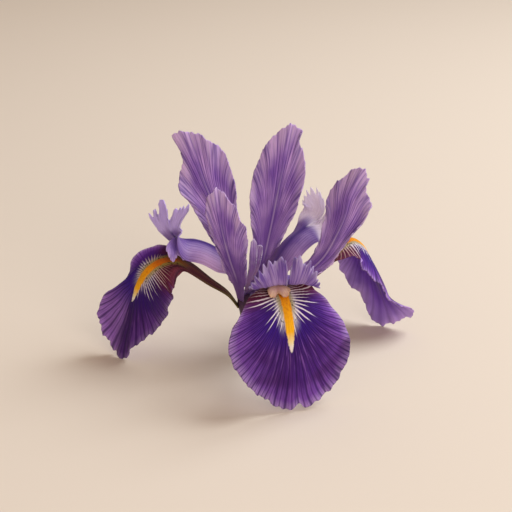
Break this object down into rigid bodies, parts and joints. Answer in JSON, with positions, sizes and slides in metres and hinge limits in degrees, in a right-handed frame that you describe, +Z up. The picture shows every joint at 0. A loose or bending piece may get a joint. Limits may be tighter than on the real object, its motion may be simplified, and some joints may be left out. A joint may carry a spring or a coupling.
{
  "type": "iris flower",
  "caption": "Cut iris bloom with drooping veined falls, upright standards and crested style arms, standing on the tips of its falls.",
  "frame": {"origin": "centre of the box round the flower, at the ground its falls stand on", "axes": "+Z up along the flower's tube, -Y out through the front fall towards the viewer, +X towards the right fall"},
  "size_m": [0.119, 0.082, 0.0866],
  "materials": {
    "fall": "velvety petal, deep violet with an orange signal",
    "standard": "thin matt petal, lilac with darker veins",
    "style": "thin matt petal, pale lilac",
    "stamen": "matt pollen and pale filament",
    "strip": "thin matt petal",
    "tube": "smooth green plant skin"
  },
  "bodies": {
    "root": {"fall_front": "fall", "fall_left": "fall", "fall_right": "fall", "standard_back": "standard", "standard_left_back": "standard", "standard_left_front": "standard", "standard_right": "standard", "style_arm_front": "style", "style_arm_left": "style", "style_arm_right": "style", "stamen_front": "stamen", "stamen_left": "stamen", "stamen_right": "stamen", "central_strip_tall": "strip", "central_strip_curled": "strip", "perianth_tube": "tube"}
  },
  "joints": []
}
